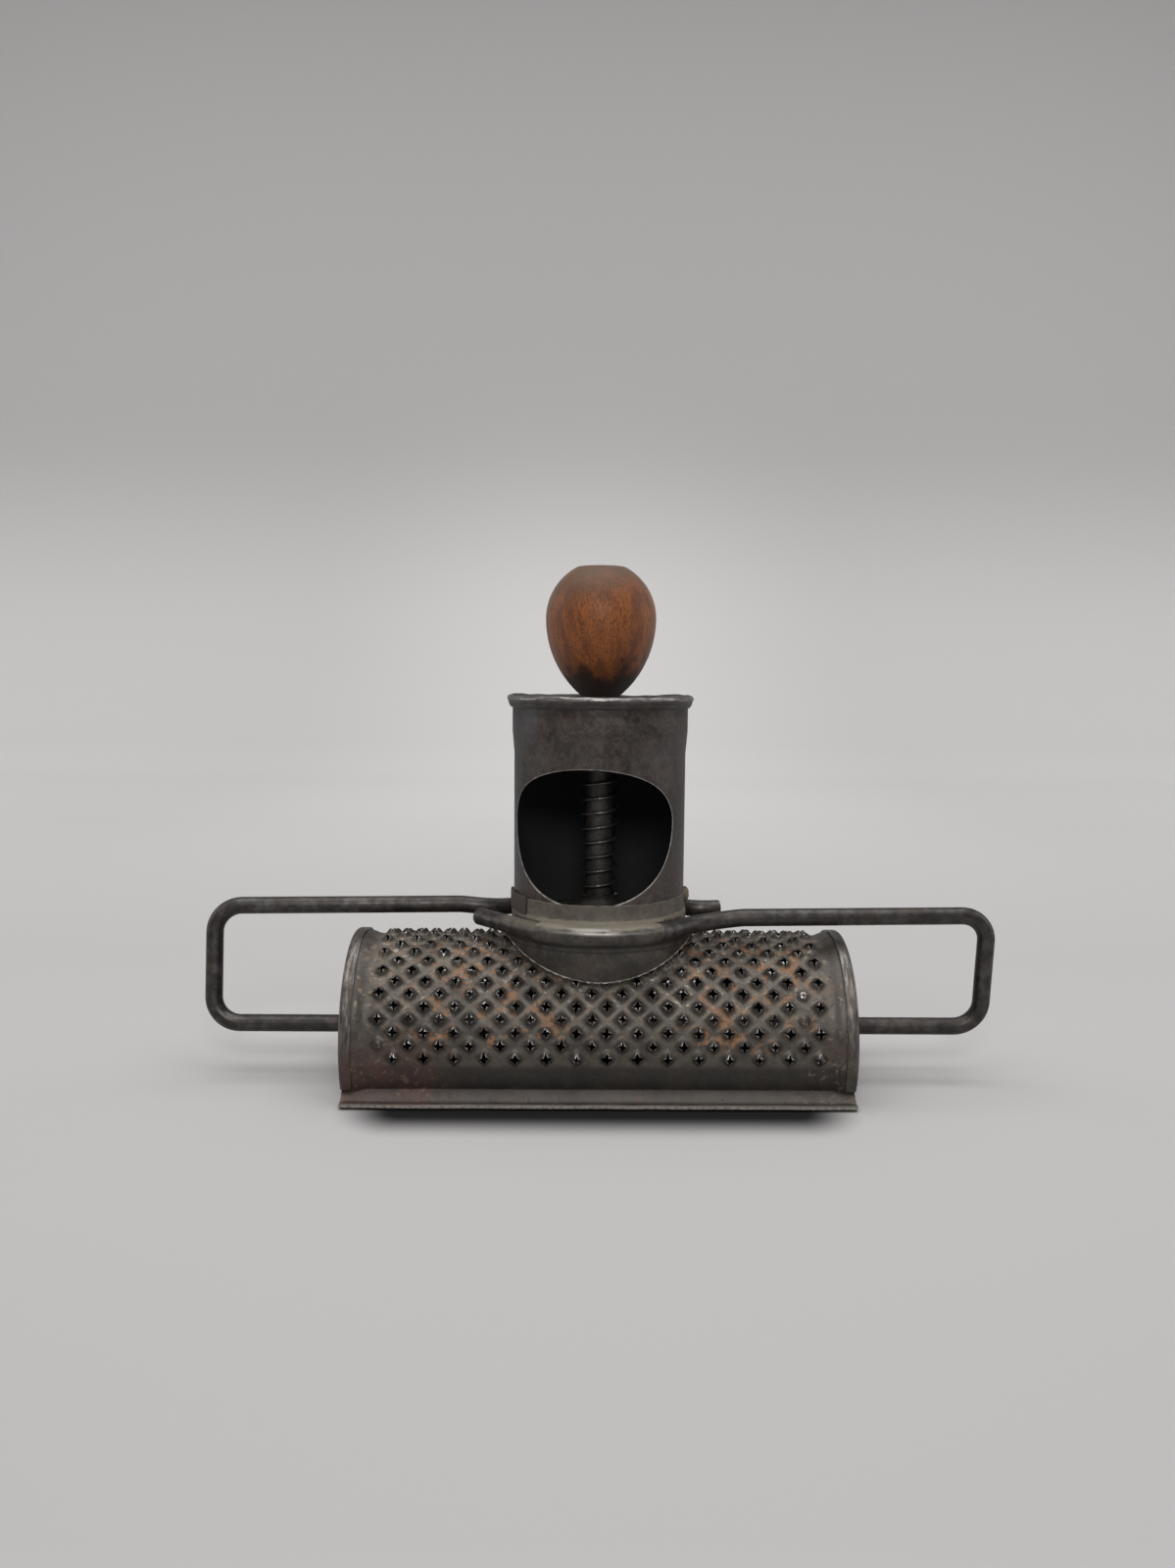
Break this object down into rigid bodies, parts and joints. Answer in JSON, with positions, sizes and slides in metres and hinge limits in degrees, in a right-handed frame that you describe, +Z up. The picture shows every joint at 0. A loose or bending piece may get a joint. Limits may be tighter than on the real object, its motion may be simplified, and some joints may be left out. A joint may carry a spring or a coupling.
{
  "type": "mechanical nutmeg grater",
  "caption": "Sliding nutmeg grater: a windowed barrel with a sprung wooden plunger rides on a wire rail over an arched, burred grating sheet, with a wire loop handle at each end.",
  "frame": {"origin": "on the surface that the grater stands on, under the middle of the grating sheet", "axes": "+X along the rail that the carriage slides on, to the right of the user who sees the window; +Y away from that user; +Z up, along the plunger"},
  "size_m": [0.1476, 0.0396, 0.0952],
  "materials": {
    "tinned_grating": "rust-freckled tinned steel, worn bright between the burrs",
    "tinned_sheet": "dull, stained tinned steel",
    "steel_wire": "smooth dark drawn wire",
    "solder": "dull grey solder",
    "spring_steel": "fine drawn spring wire",
    "stained_wood": "turned, stained and handled smooth"
  },
  "bodies": {
    "grater_base": {"grating_shell": "tinned_grating", "left_end_plate": "tinned_sheet", "right_end_plate": "tinned_sheet"},
    "rail": {"slide_rail": "steel_wire"},
    "carriage": {"left_handle_loop": "steel_wire", "right_handle_loop": "steel_wire", "saddle_collar": "tinned_sheet", "nutmeg_barrel": "tinned_sheet", "barrel_lid": "tinned_sheet", "solder_fillet": "solder", "pressure_spring": "spring_steel"},
    "spring_seat": {"spring_seat_washer": "steel_wire"},
    "plunger": {"plunger_tube": "tinned_sheet", "presser_cup": "tinned_sheet", "knob": "stained_wood"}
  },
  "joints": [
    {"name": "carriage_slide", "type": "slide", "parent": "grater_base", "child": "rail", "axis": [1, 0, 0], "range_m": [-0.0225, 0.0225]},
    {"name": "carriage_swing", "type": "hinge", "parent": "rail", "child": "carriage", "pos_m": [0, 0, 0.01], "axis": [1, 0, 0], "range_deg": [-60, 60]},
    {"name": "plunger_lift", "type": "slide", "parent": "carriage", "child": "spring_seat", "axis": [0, 0, 1], "range_m": [0, 0.026], "stiffness_N_per_m": 155, "springref_m": -0.008, "deforming": ["pressure_spring"]},
    {"name": "plunger_spin", "type": "hinge", "parent": "spring_seat", "child": "plunger", "pos_m": [0, 0, 0.0346], "axis": [0, 0, 1], "continuous": true}
  ]
}
